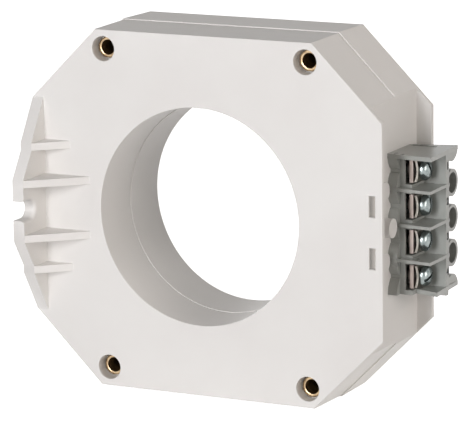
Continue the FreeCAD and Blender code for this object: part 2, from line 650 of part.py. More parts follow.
def terminal_block():
    front = "-Sheet.foot_front"
    rear_of_back = "Sheet.back_front + Sheet.back_thickness"
    foot_line = "-Sheet.foot_front + Sheet.scallop_radius"
    groove_end = "-Sheet.deck_front"

    levels = [
        ("foot", groove_end, "Sheet.foot_thickness", "Sheet.foot_rear"),
        ("deck", "-Sheet.deck_front", "Sheet.deck_level", rear_of_back),
        ("back", "Sheet.back_front", "Sheet.back_level", rear_of_back),
    ]
    solids = [block(name, (WALL, low_y, "-" + STRIP_HALF), (above(level), high_y, STRIP_HALF))
              for name, low_y, level, high_y in levels]
    scallops = [rod("scallop_%d" % (step + 3), (WALL, foot_line, "%d * Sheet.pitch" % step), ALONG_X,
                    "Sheet.scallop_radius", "Sheet.foot_thickness")
                for step in (-2, -1, 0, 1, 2)]
    span = block("strip_span", (WALL, "-2 * Sheet.scallop_radius", "-" + STRIP_HALF),
                 (above("Sheet.end_level"), foot_line, STRIP_HALF))
    solids.append(overlap("scalloped_front", join("scallops", scallops), span))

    shoulder_half = "((Sheet.pitch - Sheet.trough_width) / 2)"
    barrier = [
        (above("Sheet.foot_thickness"), front),
        (above("Sheet.barrier_level"), "%s - Sheet.barrier_lean" % front),
        (above("Sheet.barrier_level"), rear_of_back),
        (above("Sheet.foot_thickness"), rear_of_back),
    ]
    shoulders = [("shoulder_%d" % (step + 2), "%d * Sheet.pitch - %s" % (step, shoulder_half),
                  "%d * Sheet.pitch + %s" % (step, shoulder_half)) for step in (-1, 0, 1)]
    shoulders.append(("upper_shoulder", "%s - %s" % (STRIP_HALF, shoulder_half), STRIP_HALF))
    shoulders.append(("lower_shoulder", "-" + STRIP_HALF, "-%s + %s" % (STRIP_HALF, shoulder_half)))
    for name, low_z, high_z in shoulders:
        solids.append(block(name, (WALL, "-Sheet.deck_front", low_z),
                            (above("Sheet.shoulder_level"), rear_of_back, high_z)))
    for step in (-1, 0, 1):
        middle = "%d * Sheet.pitch" % step
        solids.append(plate_between("barrier_%d" % (step + 2), barrier, middle, "Sheet.barrier_thickness"))
        solids.append(rod("tube_%d" % (step + 2), (WALL, "Sheet.tube_line", middle), ALONG_X,
                          "Sheet.tube_radius", "Sheet.tube_level"))

    tube_rear = "Sheet.tube_line + Sheet.tube_radius"
    end_outline = [
        (WALL, front),
        (above("Sheet.end_level"), "%s - Sheet.barrier_lean" % front),
        (above("Sheet.tube_level"), tube_rear),
        (WALL, "Sheet.foot_rear"),
    ]
    solids.append(plate_between("upper_end", end_outline, "%s - Sheet.end_thickness / 2" % STRIP_HALF,
                                "Sheet.end_thickness"))
    lower_outline = [
        (above("Sheet.deck_level"), "Sheet.lower_end_front"),
        (above("Sheet.end_level"), "Sheet.lower_end_front - Sheet.lower_end_lean"),
        (above("Sheet.tube_level"), tube_rear),
        (WALL, "Sheet.foot_rear"),
        (WALL, "Sheet.lower_end_front"),
    ]
    solids.append(plate_between("lower_end", lower_outline, "Sheet.end_thickness / 2 - %s" % STRIP_HALF,
                                "Sheet.end_thickness"))

    end_rods = [rod(name, (WALL, "Sheet.tube_line", sign + STRIP_HALF), ALONG_X, "Sheet.tube_radius",
                    "Sheet.tube_level") for name, sign in (("upper_end_rod", ""), ("lower_end_rod", "-"))]
    profile = plate_between("end_profile", end_outline, "0", "2 * " + STRIP_HALF)
    solids.append(overlap("end_rod_halves", join("end_rods", end_rods), profile))
    solids.append(lower_key())

    keyway_rear = "Sheet.keyway_front + Sheet.keyway_width"
    cuts = [block("keyway", (above("Sheet.keyway_start"), "Sheet.keyway_front", STRIP_HALF + " - Sheet.keyway_depth"),
                  (above("Sheet.keyway_reach"), keyway_rear, STRIP_HALF + " + 1"))]
    tail_front, tail_rear = tail_span()
    for number, pole in enumerate(POLES, start=1):
        middle = "%s * Sheet.pitch" % pole
        across = (
            ("trough", above("Sheet.trough_floor"), above("Sheet.shoulder_level"),
             "Sheet.trough_wall - Sheet.deck_front", "Sheet.back_front", "Sheet.trough_width / 2"),
            ("groove", WALL, above("Sheet.foot_thickness"),
             "-2 * Sheet.scallop_radius", groove_end, "Sheet.groove_width / 2"),
            ("bar_slot", above("Sheet.bar_level - Sheet.fit_gap"),
             above("Sheet.bar_level + Sheet.bar_thickness + Sheet.fit_gap"),
             "Sheet.back_front", "%s + Sheet.fit_gap" % tail_rear, "(Sheet.bar_width / 2 + Sheet.fit_gap)"),
            ("tail_slot", WALL, above("Sheet.bar_level + Sheet.bar_thickness + Sheet.fit_gap"),
             "%s - Sheet.fit_gap" % tail_front, "%s + Sheet.fit_gap" % tail_rear,
             "(Sheet.tail_width / 2 + Sheet.fit_gap)"),
        )
        for name, low_x, high_x, low_y, high_y, half in across:
            cuts.append(block("%s_%d" % (name, number), (low_x, low_y, "%s - %s" % (middle, half)),
                              (high_x, high_y, "%s + %s" % (middle, half))))
    for step in (-1, 0, 1):
        middle = "%d * Sheet.pitch" % step
        cuts.append(rod("tube_bore_%d" % (step + 2), (above("Sheet.tube_floor"), "Sheet.tube_line", middle),
                        ALONG_X, "Sheet.tube_bore", "Sheet.tube_level - Sheet.tube_floor"))
        cuts.append(rod("fixing_way_%d" % (step + 2), (WALL, "Sheet.tube_line", middle), ALONG_X,
                        "Sheet.fixing_radius + Sheet.core_gap", "Sheet.tube_floor"))
    body = subtract("terminal_block", join("block_solids", solids), join("block_cuts", cuts))
    return keep(body, "terminal_block")


def terminal_bar(number, middle):
    """Flat bar with a threaded collar under the screw and a solder tail through the wall."""
    low = above("Sheet.bar_level")
    high = above("Sheet.bar_level + Sheet.bar_thickness")
    tail_front, tail_rear = tail_span()
    flat = block("bar_flat_%d" % number,
                 (low, "Sheet.screw_line - Sheet.bar_width / 2", "%s - Sheet.bar_width / 2" % middle),
                 (high, tail_rear, "%s + Sheet.bar_width / 2" % middle))
    tail_end = "%s - Sheet.shell_wall - Sheet.tail_inside" % WALL
    tail = block("bar_tail_%d" % number,
                 (tail_end, tail_front, "%s - Sheet.tail_width / 2" % middle),
                 (high, tail_rear, "%s + Sheet.tail_width / 2" % middle))
    under_collar = ("%s - Sheet.collar_depth" % low, "Sheet.screw_line", middle)
    collar = rod("bar_collar_%d" % number, under_collar, ALONG_X, "Sheet.collar_radius", "Sheet.collar_depth")
    hole = rod("bar_hole_%d" % number, under_collar, ALONG_X, "Sheet.thread_radius + Sheet.thread_clearance",
               "Sheet.collar_depth + Sheet.bar_thickness")
    bar = subtract("terminal_bar_%d" % number, join("bar_solids_%d" % number, [flat, tail, collar]), hole)
    keep(bar, "terminal_bar_%d" % number)


def saddle_washer(number, middle):
    """Arched square washer that the screw presses on the wire."""
    foot = "%s + Sheet.bar_thickness + Sheet.saddle_gap" % above("Sheet.bar_level")
    half = "(Sheet.saddle_width / 2)"
    inner_radius = "((%s ^ 2 + Sheet.saddle_bow ^ 2) / (2 * Sheet.saddle_bow))" % half
    centre = "%s + Sheet.saddle_bow - %s" % (foot, inner_radius)
    start = "Sheet.screw_line - " + half
    height = "2 * (Sheet.saddle_bow + Sheet.saddle_thickness)"
    outer = rod("saddle_outer_%d" % number, (centre, start, middle), ALONG_Y,
                "%s + Sheet.saddle_thickness" % inner_radius, "Sheet.saddle_width")
    inner = rod("saddle_inner_%d" % number, (centre, start, middle), ALONG_Y,
                inner_radius, "Sheet.saddle_width")
    window = block("saddle_window_%d" % number, (foot, start, "%s - %s" % (middle, half)),
                   ("%s + %s" % (foot, height), "Sheet.screw_line + " + half, "%s + %s" % (middle, half)))
    hole = rod("saddle_hole_%d" % number, (foot, "Sheet.screw_line", middle), ALONG_X,
               "Sheet.thread_radius + 2 * Sheet.thread_clearance", height)
    arch = overlap("saddle_arch_%d" % number, subtract("saddle_ring_%d" % number, outer, inner), window)
    saddle = subtract("saddle_washer_%d" % number, arch, hole)
    keep(saddle, "saddle_washer_%d" % number)


SLOT_TURNS = (62, 84, 100, 128)


def terminal_screw(number, middle):
    """Pan head screw with a straight slot, turned to the angle that it was left at."""
    body = doc.addObject("PartDesign::Body", "terminal_screw_%d" % number)
    under = "0"
    end = "-Sheet.thread_length"
    point = "0.4 * Sheet.thread_radius"
    crown = "Sheet.head_height"
    section = [
        (end, "0"),
        (end, "Sheet.thread_radius - " + point),
        ("%s + %s" % (end, point), "Sheet.thread_radius"),
        (under, "Sheet.thread_radius"),
        (under, "Sheet.head_radius"),
        ("Sheet.head_edge", "Sheet.head_radius"),
        ("Sheet.head_edge + 0.75 * (%s - Sheet.head_edge)" % crown, "0.78 * Sheet.head_radius"),
        (crown, "0.4 * Sheet.head_radius"),
        (crown, "0"),
    ]
    sketch = sketch_loops(body, "screw_section_%d" % number, "XY_Plane", "0", [section])
    turn(body, sketch, "H_Axis")
    slot_floor = "Sheet.head_height - Sheet.driver_slot_depth"
    square_bar(body, "Subtractive", "driver_slot_%d" % number,
               (slot_floor, "-Sheet.driver_slot_width / 2", "-Sheet.head_radius - 1"),
               ("Sheet.head_height + 1", "Sheet.driver_slot_width / 2", "Sheet.head_radius + 1"))
    body.Placement = Placement(Vector(), Rotation(Vector(1, 0, 0), SLOT_TURNS[number - 1]))
    seat = above("Sheet.bar_level + Sheet.bar_thickness + Sheet.saddle_gap + Sheet.saddle_bow"
                 " + Sheet.saddle_thickness + Sheet.head_gap")
    bind_place(body, seat, "Sheet.screw_line", middle)
    keep(body, "terminal_screw_%d" % number)


def fixing_screws():
    """Two screws down the outer tubes that hold the block to the rear shell."""
    section = [
        ("-Sheet.fixing_length", "0"),
        ("-Sheet.fixing_length + Sheet.fixing_radius", "Sheet.fixing_radius"),
        ("0", "Sheet.fixing_radius"),
        ("0", "Sheet.fixing_head_radius"),
        ("0.6 * Sheet.fixing_head_height", "Sheet.fixing_head_radius"),
        ("Sheet.fixing_head_height", "0.6 * Sheet.fixing_head_radius"),
        ("Sheet.fixing_head_height", "0"),
    ]
    for number, step in enumerate((1, -1), start=1):
        body = doc.addObject("PartDesign::Body", "fixing_screw_%d" % number)
        sketch = sketch_loops(body, "fixing_section_%d" % number, "XY_Plane", "0", [section])
        turn(body, sketch, "H_Axis")
        narrow = "Sheet.driver_slot_width / 2"
        wide = "Sheet.fixing_radius"
        for turned, half_y, half_z in (("flat", narrow, wide), ("upright", wide, narrow)):
            square_bar(body, "Subtractive", "cross_%s_%d" % (turned, number),
                       ("0.4 * Sheet.fixing_head_height", "-" + half_y, "-" + half_z),
                       ("Sheet.fixing_head_height + 1", half_y, half_z))
        bind_place(body, above("Sheet.tube_floor"), "Sheet.tube_line", "%d * Sheet.pitch" % step)
        keep(body, "fixing_screw_%d" % number)


def lead_wire(number, middle):
    """Insulated lead from a winding to a solder tail."""
    reach = "%s + Sheet.touch_gap" % WINDING_OUTER
    if number > 2:
        reach = "%s + 2 * Sheet.touch_gap + Sheet.test_build" % WINDING_OUTER
    # The near edge of the wire clears the round winding.
    edge = "(abs(%s) - Sheet.lead_radius)" % middle
    start = "sqrt((%s) ^ 2 - %s ^ 2) + Sheet.touch_gap" % (reach, edge)
    end = "%s - Sheet.shell_wall - Sheet.tail_inside" % WALL
    tail_front, tail_rear = tail_span()
    wire = rod("lead_wire_%d" % number, (start, "(%s + %s) / 2" % (tail_front, tail_rear), middle), ALONG_X,
               "Sheet.lead_radius", "%s - (%s)" % (end, start))
    keep(wire, "lead_wire_%d" % number)


front_shell()
rear_shell()
threaded_sleeves()
wound_core()
foam_pads()
terminal_block()
for pole_number, pole_step in enumerate(POLES, start=1):
    pole_middle = "%s * Sheet.pitch" % pole_step
    terminal_bar(pole_number, pole_middle)
    saddle_washer(pole_number, pole_middle)
    terminal_screw(pole_number, pole_middle)
    lead_wire(pole_number, pole_middle)
fixing_screws()

doc.recompute()
for thing in doc.Objects:
    if "Invalid" in thing.State or "Error" in thing.State:
        raise RuntimeError("%s failed: %s" % (thing.Label, thing.State))
for piece in pieces:
    if piece.Shape.isNull() or not piece.Shape.isValid():
        raise RuntimeError("%s has no valid shape" % piece.Label)

os.makedirs("parts", exist_ok=True)
for piece in pieces:
    piece.Shape.exportStep(os.path.join("parts", piece.Label + ".step"))
    print("%-22s %d solid, %.0f cubic mm" % (piece.Label, len(piece.Shape.Solids), piece.Shape.Volume))
print(len(pieces), "pieces written")
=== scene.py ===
import math

import bpy
from mathutils import Matrix, Vector


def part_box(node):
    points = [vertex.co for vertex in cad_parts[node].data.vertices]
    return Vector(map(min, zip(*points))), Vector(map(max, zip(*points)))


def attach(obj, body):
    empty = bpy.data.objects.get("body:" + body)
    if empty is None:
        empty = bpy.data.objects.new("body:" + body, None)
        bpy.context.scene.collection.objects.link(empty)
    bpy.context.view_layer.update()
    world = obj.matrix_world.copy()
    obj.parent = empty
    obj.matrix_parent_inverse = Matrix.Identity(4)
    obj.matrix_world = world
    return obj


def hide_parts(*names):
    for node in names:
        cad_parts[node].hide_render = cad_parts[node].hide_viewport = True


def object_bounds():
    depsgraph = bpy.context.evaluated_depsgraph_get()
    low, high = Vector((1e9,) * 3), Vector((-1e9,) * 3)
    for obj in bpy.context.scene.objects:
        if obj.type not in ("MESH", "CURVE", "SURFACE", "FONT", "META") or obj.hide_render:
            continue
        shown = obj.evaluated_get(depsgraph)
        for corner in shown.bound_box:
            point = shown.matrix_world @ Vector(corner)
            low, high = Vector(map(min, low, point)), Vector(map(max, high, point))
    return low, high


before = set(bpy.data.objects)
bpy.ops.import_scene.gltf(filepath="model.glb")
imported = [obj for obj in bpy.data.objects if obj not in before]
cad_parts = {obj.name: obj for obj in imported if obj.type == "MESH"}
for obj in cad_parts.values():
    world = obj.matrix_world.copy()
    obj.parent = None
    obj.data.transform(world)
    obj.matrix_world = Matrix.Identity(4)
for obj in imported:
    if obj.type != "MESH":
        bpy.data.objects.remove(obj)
cadLow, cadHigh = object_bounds()
mm = 0.001
fourTimes = range(1, 5)  # sleeves, poles of the terminal block and their pieces

# Camera, fitted to the faces and the bore of the ring in the photograph: mm and degrees.
cameraValues = {
    "place": (502.67, -986.97, 227.52),
    "yaw": 26.850,
    "pitch": 11.692,
    "roll": -0.767,
    "lens": 268.84,
    "sensorWidth": 36.0,
}

# Lights: metres and watts. The key is tall and lights the front face and the rim of the parting.
lightValues = {
    "world": 0.08,
    "worldColour": "fff8f2",
    "key": {
        "place": (-0.12, -1.9, 0.2), "size": 0.55, "tall": 1.4, "power": 36, "colour": "fdfdff",
    },
    "side": {"place": (1.75, -0.4, 0.35), "size": 1.0, "power": 13, "colour": "fff8f2"},
    "back": {"place": (0.45, 1.6, 0.95), "size": 1.0, "power": 5, "colour": "fff8f2"},
    "fill": {"place": (-1.9, 1.5, 0.1), "size": 0.9, "power": 26, "colour": "fdfdff"},
}

# Floor: metres, with its gap below the object. Its glow is seen only by the rays of seenRay.
floorValues = {"size": 6.0, "below": 0.0002, "colour": "f4f4f4", "glow": 0.92}


def linearColour(hexColour, alpha=1.0):
    # From sRGB, as colours are written, to the linear values that shaders take.
    channels = []
    for start in (0, 2, 4):
        value = int(hexColour[start:start + 2], 16) / 255
        channels.append(value / 12.92 if value <= 0.04045 else ((value + 0.055) / 1.055) ** 2.4)
    return (*channels, alpha)


def addNode(tree, kind, settings=None, **links):
    # Settings are the node's own. Each link names a socket, or gives its number after an
    # underscore, and holds a value or another node's socket.
    node = tree.nodes.new(kind)
    for name, value in (settings or {}).items():
        setattr(node, name, value)
    for name, value in links.items():
        socket = node.inputs[int(name[1:]) if name[0] == "_" else name.replace("_", " ")]
        if isinstance(value, bpy.types.NodeSocket):
            tree.links.new(value, socket)
        else:
            socket.default_value = value
    return node


def newMaterial(name, roughness, metallic=0.0, ior=1.5):
    material = bpy.data.materials.new(name)
    material.use_nodes = True
    tree = material.node_tree
    surface = tree.nodes["Principled BSDF"]
    surface.inputs["Roughness"].default_value = roughness
    surface.inputs["Metallic"].default_value = metallic
    if metallic == 0:
        surface.inputs["IOR"].default_value = ior  # metal keeps the default
    place = addNode(tree, "ShaderNodeTexCoord").outputs["Object"]
    return material, tree, surface, place


def colourSpread(tree, surface, factor, low, high, start=0.3, end=0.7):
    # Two nearby shades of the finish, spread by a pattern.
    ramp = addNode(tree, "ShaderNodeValToRGB", Fac=factor)
    ramp.color_ramp.elements[0].position = start
    ramp.color_ramp.elements[0].color = linearColour(low)
    ramp.color_ramp.elements[1].position = end
    ramp.color_ramp.elements[1].color = linearColour(high)
    tree.links.new(ramp.outputs["Color"], surface.inputs["Base Color"])


def roughnessSpread(tree, surface, factor, change):
    # The roughness goes up and down by a change round its typical value.
    middle = surface.inputs["Roughness"].default_value
    low, high = middle - change, middle + change
    spread = addNode(tree, "ShaderNodeMapRange", Value=factor, To_Min=low, To_Max=high)
    tree.links.new(spread.outputs["Result"], surface.inputs["Roughness"])


def surfaceBump(tree, surface, height, strength, depth):
    # Depth is the real height of the pattern in metres.
    bump = addNode(tree, "ShaderNodeBump", Height=height, Strength=strength, Distance=depth)
    tree.links.new(bump.outputs["Normal"], surface.inputs["Normal"])


def mouldedPolycarbonate():
    # Glass filled polycarbonate from a spark eroded mould: satin, with a fine even grain.
    material, tree, surface, place = newMaterial("mouldedPolycarbonate", 0.52, ior=1.58)
    # The flow of the melt leaves clouds about 30 mm wide, and the grain is 0.35 mm.
    clouds = addNode(tree, "ShaderNodeTexNoise", Vector=place, Scale=33.0, Detail=3.0)
    grain = addNode(tree, "ShaderNodeTexNoise", Vector=place, Scale=2900.0, Detail=2.0)
    colourSpread(tree, surface, clouds.outputs["Fac"], "dedbd8", "e3e1de")
    roughnessSpread(tree, surface, clouds.outputs["Fac"], 0.06)
    surfaceBump(tree, surface, grain.outputs["Fac"], 0.25, 0.06 * mm)
    return material


def mouldedPolyamide():
    # Grey polyamide of the terminal block: glossier than the housing, with a coarser grain.
    material, tree, surface, place = newMaterial("mouldedPolyamide", 0.29, ior=1.57)
    clouds = addNode(tree, "ShaderNodeTexNoise", Vector=place, Scale=120.0, Detail=3.0)
    grain = addNode(tree, "ShaderNodeTexNoise", Vector=place, Scale=2400.0, Detail=2.0)
    colourSpread(tree, surface, clouds.outputs["Fac"], "969894", "9fa19d")
    roughnessSpread(tree, surface, clouds.outputs["Fac"], 0.05)
    surfaceBump(tree, surface, grain.outputs["Fac"], 0.18, 0.06 * mm)
    return material


def turnedBrass():
    # Free cutting brass, bright from the lathe, with fine rings across the sleeve.
    material, tree, surface, place = newMaterial("turnedBrass", 0.28, metallic=1.0)
    tarnish = addNode(tree, "ShaderNodeTexNoise", Vector=place, Scale=600.0, Detail=4.0)
    rings = addNode(tree, "ShaderNodeTexWave", {"bands_direction": "Y"},
                    Vector=place, Scale=900.0, Distortion=1.0)
    colourSpread(tree, surface, tarnish.outputs["Fac"], "9a8064", "d3bb96")
    roughnessSpread(tree, surface, tarnish.outputs["Fac"], 0.08)
    surfaceBump(tree, surface, rings.outputs["Fac"], 0.2, 0.03 * mm)
    return material


def tappedBrass():
    # The cut thread inside a sleeve, dull, its brass painted near black: a painted shade for the
    # deep bore.
    material, tree, surface, place = newMaterial("tappedBrass", 0.55, metallic=1.0)
    shadeNoise = addNode(tree, "ShaderNodeTexNoise", Vector=place, Scale=500.0, Detail=3.0)
    # Painted shade: the bore's brass is drawn dark, where the deep hole lies in shade.
    colourSpread(tree, surface, shadeNoise.outputs["Fac"], "2c2014", "4e3c26")
    roughnessSpread(tree, surface, shadeNoise.outputs["Fac"], 0.1)
    return material


def zincPlate():
    # Clear passivated zinc on steel: bright, a little blue, with a soft mottled sheen.
    material, tree, surface, place = newMaterial("zincPlate", 0.24, metallic=1.0)
    mottle = addNode(tree, "ShaderNodeTexNoise", Vector=place, Scale=900.0, Detail=4.0)
    colourSpread(tree, surface, mottle.outputs["Fac"], "7a8383", "9fa7a6")
    roughnessSpread(tree, surface, mottle.outputs["Fac"], 0.08)
    surfaceBump(tree, surface, mottle.outputs["Fac"], 0.15, 0.03 * mm)
    return material


def nickelPlate():
    # Nickel on stamped steel: warmer than zinc, with faint lines from the strip's rolling.
    material, tree, surface, place = newMaterial("nickelPlate", 0.31, metallic=1.0)
    stretched = addNode(tree, "ShaderNodeMapping", Vector=place, Scale=(1.0, 1.0, 0.08))
    lines = addNode(tree, "ShaderNodeTexNoise",
                    Vector=stretched.outputs["Vector"], Scale=5000.0, Detail=2.0)
    colourSpread(tree, surface, lines.outputs["Fac"], "aaa69e", "cbc7be")
    roughnessSpread(tree, surface, lines.outputs["Fac"], 0.09)
    surfaceBump(tree, surface, lines.outputs["Fac"], 0.15, 0.02 * mm)
    return material


def tinnedBrass():
    # Hot tinned brass strip: dull and warm, the tin drawn out in the direction of rolling.
    material, tree, surface, place = newMaterial("tinnedBrass", 0.43, metallic=1.0)
    stretched = addNode(tree, "ShaderNodeMapping", Vector=place, Scale=(1.0, 1.0, 0.1))
    smear = addNode(tree, "ShaderNodeTexNoise",
                    Vector=stretched.outputs["Vector"], Scale=2500.0, Detail=3.0)
    colourSpread(tree, surface, smear.outputs["Fac"], "a0948d", "bcb0aa")
    roughnessSpread(tree, surface, smear.outputs["Fac"], 0.09)
    surfaceBump(tree, surface, smear.outputs["Fac"], 0.2, 0.03 * mm)
    return material


def padInk():
    # Black numerals, thin and slightly uneven.
    material, tree, surface, place = newMaterial("padInk", 0.6, ior=1.5)
    patches = addNode(tree, "ShaderNodeTexNoise", Vector=place, Scale=3000.0, Detail=3.0)
    colourSpread(tree, surface, patches.outputs["Fac"], "0c0c0c", "161616")
    return material


def angleRoundBore(tree, place):
    parts = addNode(tree, "ShaderNodeSeparateXYZ", Vector=place).outputs
    return addNode(tree, "ShaderNodeMath", {"operation": "ARCTAN2"},
                   _0=parts["Z"], _1=parts["X"]).outputs["Value"]


def distanceFromAxis(tree, place):
    parts = addNode(tree, "ShaderNodeSeparateXYZ", Vector=place).outputs
    flat = addNode(tree, "ShaderNodeCombineXYZ", X=parts["X"], Y=parts["Z"])
    return addNode(tree, "ShaderNodeVectorMath", {"operation": "LENGTH"},
                   _0=flat.outputs["Vector"]).outputs["Value"]


def stripes(tree, coordinate, count):
    # Round ridges, count of them for each unit of the coordinate.
    scaled = addNode(tree, "ShaderNodeMath", {"operation": "MULTIPLY"},
                     _0=coordinate, _1=count * 2 * math.pi)
    wave = addNode(tree, "ShaderNodeMath", {"operation": "SINE"}, _0=scaled.outputs["Value"])
    ridges = addNode(tree, "ShaderNodeMapRange", Value=wave.outputs["Value"], From_Min=-1.0)
    return ridges.outputs["Result"]


windingValues = {"innerRadius": 39.0, "stripPitch": 0.25}  # mm


def enamelledWinding(name, low, high, wireWidth):
    # Enamelled copper wire, wound through the ring, side by side where it passes the inside.
    material, tree, surface, place = newMaterial(name, 0.3, ior=1.6)
    wires = stripes(tree, angleRoundBore(tree, place), windingValues["innerRadius"] / wireWidth)
    colourSpread(tree, surface, wires, low, high, 0.1, 0.8)
    surface.inputs["Coat Weight"].default_value = 0.4
    surfaceBump(tree, surface, wires, 0.8, wireWidth * 0.25 * mm)
    return material


def woundStrip():
    # Thin soft magnetic strip wound like a clock spring: its edges show as fine rings.
    material, tree, surface, place = newMaterial("woundStrip", 0.35, metallic=1.0)
    layers = stripes(tree, distanceFromAxis(tree, place), 1 / (windingValues["stripPitch"] * mm))
    colourSpread(tree, surface, layers, "77787a", "a9abad", 0.1, 0.9)
    surfaceBump(tree, surface, layers, 0.5, 0.05 * mm)
    return material


def caseNylon():
    # Black nylon of the core case, plain from the mould.
    material, tree, surface, place = newMaterial("caseNylon", 0.5, ior=1.53)
    grain = addNode(tree, "ShaderNodeTexNoise", Vector=place, Scale=1800.0, Detail=2.0)
    colourSpread(tree, surface, grain.outputs["Fac"], "1a1a1c", "242427")
    surfaceBump(tree, surface, grain.outputs["Fac"], 0.3, 0.08 * mm)
    return material


def closedCellFoam():
    # Cross linked foam: matt, with cells of about half a millimetre.
    material, tree, surface, place = newMaterial("closedCellFoam", 0.9, ior=1.4)
    cells = addNode(tree, "ShaderNodeTexVoronoi", Vector=place, Scale=2000.0)
    colourSpread(tree, surface, cells.outputs["Distance"], "1f1f20", "3a3a3b", 0.0, 0.6)
    surfaceBump(tree, surface, cells.outputs["Distance"], 0.8, 0.2 * mm)
    return material


def leadSleeve():
    # Silicone sleeve of the leads, soft and a little translucent looking.
    material, tree, surface, place = newMaterial("leadSleeve", 0.45, ior=1.41)
    specks = addNode(tree, "ShaderNodeTexNoise", Vector=place, Scale=1500.0, Detail=3.0)
    colourSpread(tree, surface, specks.outputs["Fac"], "cfc9bc", "ded9cd")
    surfaceBump(tree, surface, specks.outputs["Fac"], 0.2, 0.05 * mm)
    return material


finishes = {
    "housing": mouldedPolycarbonate(),
    "terminal": mouldedPolyamide(),
    "brass": turnedBrass(),
    # The bore's brass is painted dark, as painted shade of the deep hole.
    "paintedBoreShade": tappedBrass(),
    "zinc": zincPlate(),
    "nickel": nickelPlate(),
    "tinned": tinnedBrass(),
    "numerals": padInk(),
    "secondary": enamelledWinding("enamelledCopper", "6b2d10", "a8521f", 0.9),
    "test": enamelledWinding("amberCopper", "8a5414", "c98a2e", 0.7),
    "core": woundStrip(),
    "case": caseNylon(),
    "foam": closedCellFoam(),
    "lead": leadSleeve(),
}
print("materials ready")


def pickOnly(*pieces):
    bpy.ops.object.select_all(action="DESELECT")
    for piece in pieces:
        piece.select_set(True)
    bpy.context.view_layer.objects.active = pieces[0]


def setFinish(piece, material):
    piece.data.materials.clear()
    piece.data.materials.append(material)


def ownCopy(source, name):
    # A copy with its own mesh.
    piece = bpy.data.objects.new(name, source.data.copy())
    bpy.context.scene.collection.objects.link(piece)
    return piece


def applyModifiers(piece):
    pickOnly(piece)
    for modifier in list(piece.modifiers):
        bpy.ops.object.modifier_apply(modifier=modifier.name)


def addBevel(piece, width, sharpest, outerMiter="MITER_SHARP"):
    # Rounds the edges sharper than an angle in degrees, when the modifiers are applied.
    edges = piece.modifiers.new("roundedEdges", "BEVEL")
    edges.width = width * mm
    edges.segments = 2
    edges.limit_method = "ANGLE"
    edges.angle_limit = math.radians(sharpest)
    edges.miter_outer = outerMiter


def cutAway(piece, cutter):
    cut = piece.modifiers.new("cut", "BOOLEAN")
    cut.object = cutter
    cut.solver = "EXACT"
    applyModifiers(piece)
    bpy.data.objects.remove(cutter)


def smoothByAngle(piece, degrees):
    # Flat faces keep their own normals, so the light doesn't roll over them at a rounded edge.
    pickOnly(piece)
    bpy.ops.object.shade_smooth_by_angle(angle=math.radians(degrees))
    even = piece.modifiers.new("evenNormals", "WEIGHTED_NORMAL")
    even.keep_sharp = True
    even.weight = 60
    applyModifiers(piece)


# Distances in mm and angles in degrees for a copy of a node. The angles for turned pieces are
# wider, so that the facets of their threads stay smooth.
copyValues = {"merge": 0.002, "flat": 0.5, "sharp": 35, "onPlane": 0.02}
turnedValues = {"smooth": 40, "sharp": 50}


def roundRims(piece, level, radius):
    # Rounds the sharp edges in one plane across Y.
    pickOnly(piece)
    bpy.ops.object.mode_set(mode="EDIT")
    bpy.ops.mesh.select_mode(type="EDGE")
    bpy.ops.mesh.select_all(action="DESELECT")
    bpy.ops.mesh.edges_select_sharp(sharpness=math.radians(copyValues["sharp"]))
    bpy.ops.object.mode_set(mode="OBJECT")
    points = piece.data.vertices
    for face in piece.data.polygons:
        face.select = False
    for edge in piece.data.edges:
        away = max(abs(points[index].co.y - level) for index in edge.vertices)
        if away > copyValues["onPlane"] * mm:
            edge.select = False
    bpy.ops.object.mode_set(mode="EDIT")
    bpy.ops.mesh.bevel(offset=radius * mm, segments=2, affect="EDGES", miter_outer="ARC")
    bpy.ops.object.mode_set(mode="OBJECT")


def finishedCopy(nodeName, pieceName, edgeRadius, rim=None, cutter=None):
    # The node's own shape with its loose triangles joined, flat faces cleaned and edges rounded,
    # the rims of one face more than the rest.
    piece = ownCopy(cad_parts[nodeName], pieceName)
    pickOnly(piece)
    bpy.ops.object.mode_set(mode="EDIT")
    bpy.ops.mesh.select_all(action="SELECT")
    bpy.ops.mesh.remove_doubles(threshold=copyValues["merge"] * mm)
    bpy.ops.mesh.dissolve_limited(angle_limit=math.radians(copyValues["flat"]))
    bpy.ops.object.mode_set(mode="OBJECT")
    if rim:
        roundRims(piece, rim["level"] * mm, rim["radius"])
    addBevel(piece, edgeRadius, copyValues["sharp"], "MITER_ARC")
    applyModifiers(piece)
    if cutter:
        cutAway(piece, cutter)
    smoothByAngle(piece, copyValues["sharp"])
    return piece


def standFor(piece, nodeName, body, material):
    setFinish(piece, material)
    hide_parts(nodeName)
    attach(piece, body)


# Housing: the rims of its two faces are rounded, and each sleeve stands clear of the plastic
# in the floor of its recess.
shellValues = {
    "front_shell": {
        "piece": "frontShell", "edgeRadius": 0.1, "inward": 1,
        "rim": {"level": -19.9, "radius": 0.35},
    },
    "rear_shell": {
        "piece": "rearShell", "edgeRadius": 0.1, "inward": -1,
        "rim": {"level": 18.8, "radius": 0.35},
    },
}
gapValues = {"radius": 3.9, "depth": 1.3, "above": 0.2, "vertices": 48}


def gapCutter(inward, values):
    # Four discs, one round the end of each sleeve, as one cutter.
    discs = []
    for number in fourTimes:
        low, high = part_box("threaded_sleeve_%d" % number)
        middle = (low + high) / 2
        end = low.y if inward > 0 else high.y
        middle.y = end + inward * (values["depth"] - values["above"]) / 2 * mm
        bpy.ops.mesh.primitive_cylinder_add(
            vertices=values["vertices"], radius=values["radius"] * mm,
            depth=(values["depth"] + values["above"]) * mm,
            location=middle, rotation=(math.radians(90), 0, 0))
        discs.append(bpy.context.object)
    pickOnly(*discs)
    bpy.ops.object.join()
    return discs[0]


for nodeName, values in shellValues.items():
    shell = finishedCopy(nodeName, values["piece"], values["edgeRadius"], values["rim"],
                         cutter=gapCutter(values["inward"], gapValues))
    standFor(shell, nodeName, "housing", finishes["housing"])
print("housing shells ready")

